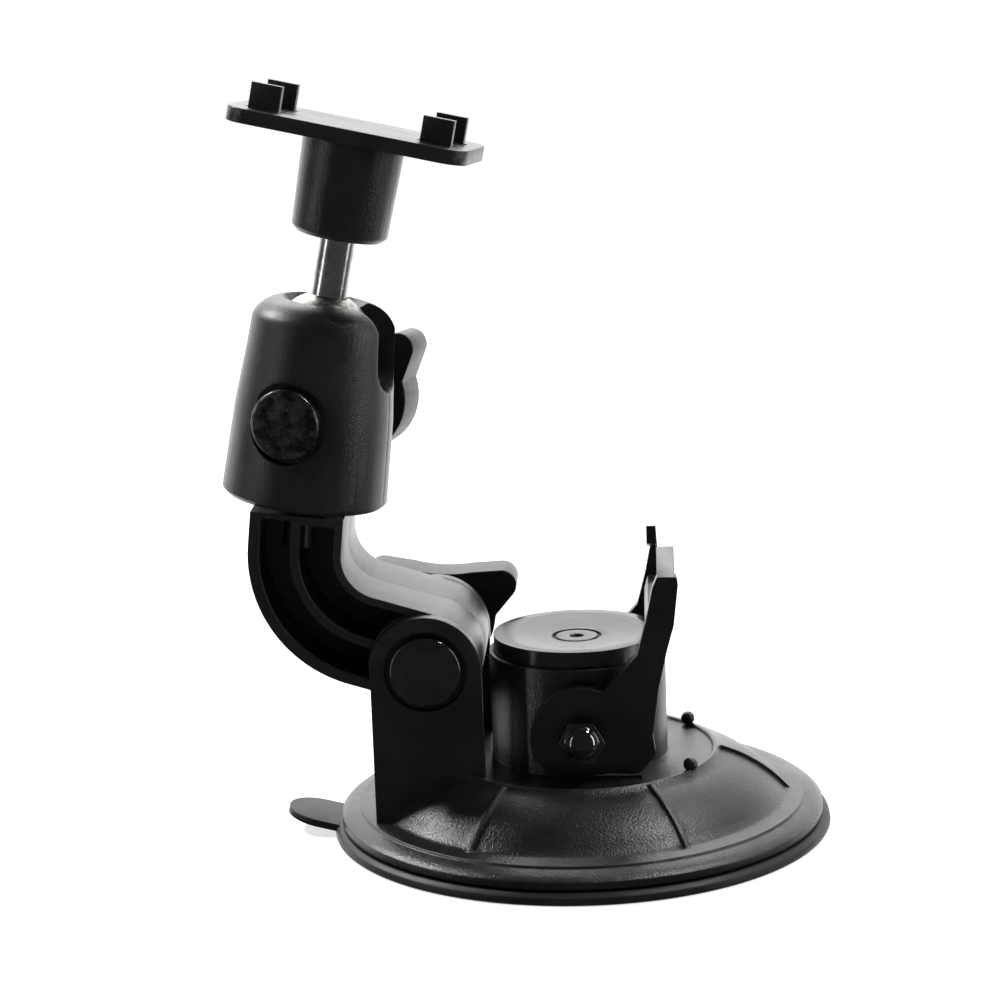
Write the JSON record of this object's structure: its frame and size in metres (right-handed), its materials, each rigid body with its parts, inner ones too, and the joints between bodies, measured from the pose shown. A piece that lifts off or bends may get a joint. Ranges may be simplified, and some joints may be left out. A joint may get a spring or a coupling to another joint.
{
  "type": "suction mount for a dash camera",
  "caption": "Suction mount for a dash camera: cam-lever suction base, tilting elbow, clamped ball head and a plate with four claws.",
  "frame": {"origin": "middle of the suction cup's contact face", "axes": "+Z away from the glass, +X from the elbow hinge toward the lever, +Y from the bolt heads toward the knobs"},
  "size_m": [0.1009, 0.0846, 0.1275],
  "materials": {
    "black_plastic": "fine grained satin black",
    "button_plastic": "smooth satin black",
    "lever_plastic": "smooth satin black",
    "knob_plastic": "matte black",
    "cup_rubber": "smooth dark grey",
    "black_chrome": "polished black",
    "smoked_chrome": "polished smoky black, lightly scratched",
    "bright_chrome": "polished",
    "zinc_steel": "plated",
    "brass": "turned"
  },
  "bodies": {
    "base": {"base_shell": "black_plastic", "suction_cup": "cup_rubber", "button_springs": "zinc_steel", "hinge_bolt": "black_chrome", "hinge_washer": "zinc_steel"},
    "stem": {"cup_stem": "black_plastic", "lever_bolt": "black_chrome", "lever_nut": "black_chrome"},
    "lever": {"lever": "lever_plastic"},
    "button": {"press_button": "button_plastic"},
    "lower_knob": {"lower_knob": "knob_plastic", "lower_knob_nut": "brass"},
    "elbow": {"elbow_front": "black_plastic", "elbow_rear": "black_plastic", "elbow_screws": "zinc_steel", "swivel_post": "zinc_steel"},
    "head": {"head_front": "black_plastic", "head_rear": "black_plastic", "head_bolt": "smoked_chrome", "head_washer": "zinc_steel"},
    "upper_knob": {"upper_knob": "knob_plastic", "upper_knob_nut": "brass"},
    "ball": {"ball": "bright_chrome"},
    "stud": {"stud": "bright_chrome"},
    "plate": {"plate_socket": "black_plastic", "socket_insert": "brass", "claw_plate": "black_plastic"}
  },
  "joints": [
    {"name": "lever_flip", "type": "hinge", "parent": "stem", "child": "lever", "pos_m": [0.00084, 0, 0.01985], "axis": [0, 1, 0], "range_deg": [0, 80]},
    {"name": "stem_lift", "type": "slide", "parent": "base", "child": "stem", "axis": [0, 0, 1], "range_m": [0, 0.0064]},
    {"name": "button_press", "type": "slide", "parent": "base", "child": "button", "axis": [0, 0, -1], "range_m": [0, 0.0015], "stiffness_N_per_m": 600, "springref_m": -0.001, "deforming": ["button_springs"]},
    {"name": "lower_knob_turn", "type": "hinge", "parent": "base", "child": "lower_knob", "pos_m": [-0.0247, 0, 0.0311], "axis": [0, 1, 0], "range_deg": [0, 360]},
    {"name": "elbow_tilt", "type": "hinge", "parent": "base", "child": "elbow", "pos_m": [-0.0247, 0, 0.0311], "axis": [0, 1, 0], "range_deg": [-35, 30]},
    {"name": "head_swivel", "type": "hinge", "parent": "elbow", "child": "head", "pos_m": [-0.045, 0, 0.05795], "axis": [0.1564, 0, 0.9877], "range_deg": [-90, 90]},
    {"name": "upper_knob_turn", "type": "hinge", "parent": "head", "child": "upper_knob", "pos_m": [-0.04275, 0, 0.07217], "axis": [0.2473, 0.9681, -0.0392], "range_deg": [0, 360]},
    {"name": "ball_fold", "type": "hinge", "parent": "head", "child": "ball", "pos_m": [-0.04085, 0, 0.08412], "axis": [0.2473, 0.9681, -0.0392], "range_deg": [-12, 70]},
    {"name": "ball_lean", "type": "hinge", "parent": "ball", "child": "stud", "pos_m": [-0.04085, 0, 0.08412], "axis": [0.9647, -0.165, -0.2051], "range_deg": [-2, 2]},
    {"name": "plate_spin", "type": "hinge", "parent": "stud", "child": "plate", "pos_m": [-0.04085, 0, 0.08412], "axis": [0.2079, 0, 0.9781], "continuous": true}
  ],
  "couplings": [
    {"joint": "stem_lift", "follows": "lever_flip", "m_per_rad": 0.0045837}
  ]
}
